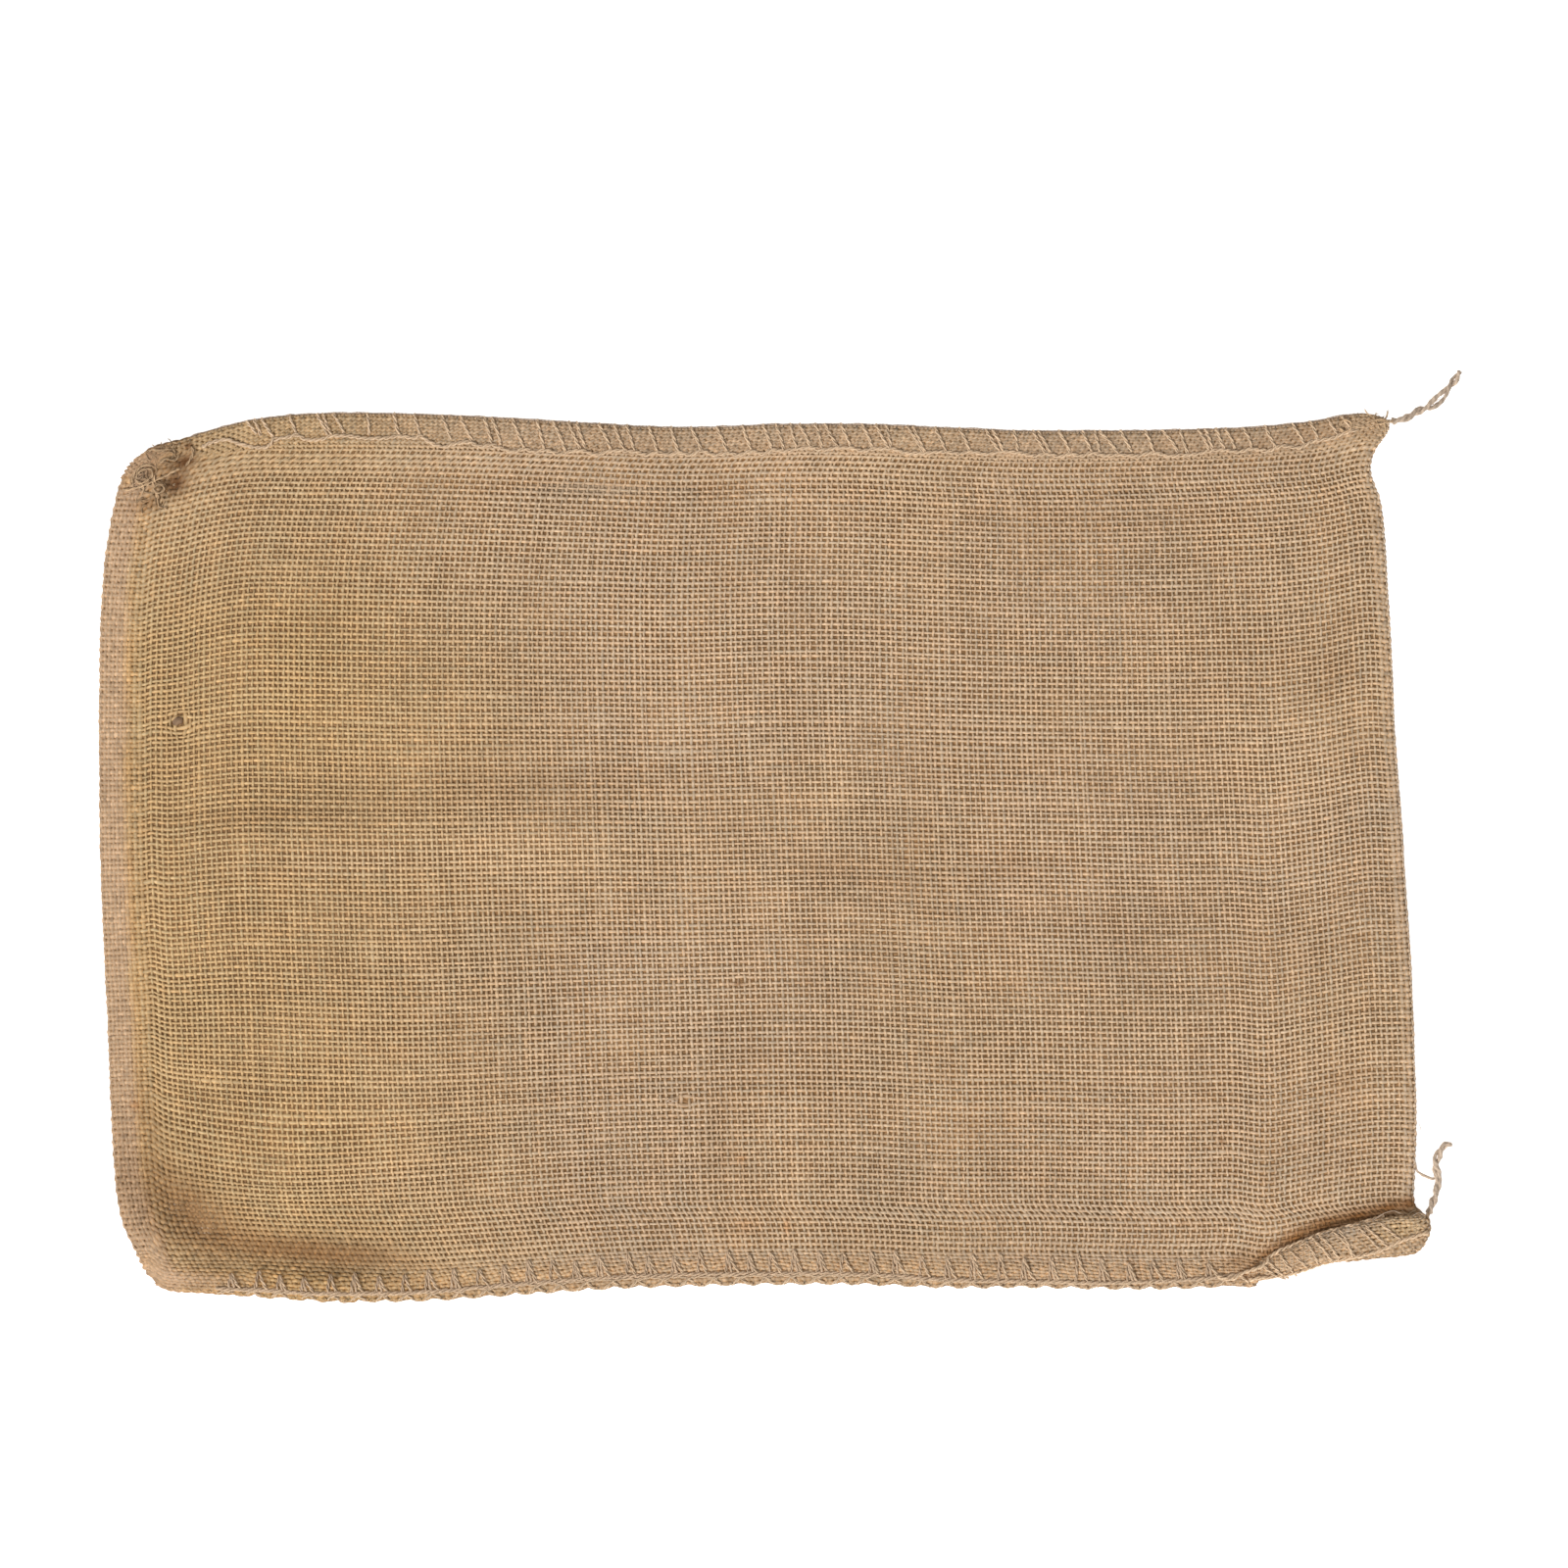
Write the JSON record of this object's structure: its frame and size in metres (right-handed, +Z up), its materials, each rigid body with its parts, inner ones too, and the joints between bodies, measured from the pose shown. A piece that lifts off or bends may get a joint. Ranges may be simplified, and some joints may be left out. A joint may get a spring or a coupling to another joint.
{
  "type": "jute sack",
  "caption": "Empty rectangular sack of open plain-weave jute lying flat, overhead-sewn along both long sides, with loose ends of seam twine at two corners.",
  "frame": {"origin": "on the ground under the middle of the sack's outline as it lies, without the two loose twine ends", "axes": "+X from the open mouth towards the folded bottom, +Y across towards the flat-sewn long side, +Z up out of the ground"},
  "size_m": [0.6261, 0.427, 0.0108],
  "materials": {
    "jute_cloth": "dry coarse open plain weave, matte",
    "seam_twine": "dry twisted twine, matte"
  },
  "bodies": {
    "root": {"sack_body": "jute_cloth", "thread_tail_top": "seam_twine", "thread_tail_bottom": "seam_twine"}
  },
  "joints": []
}
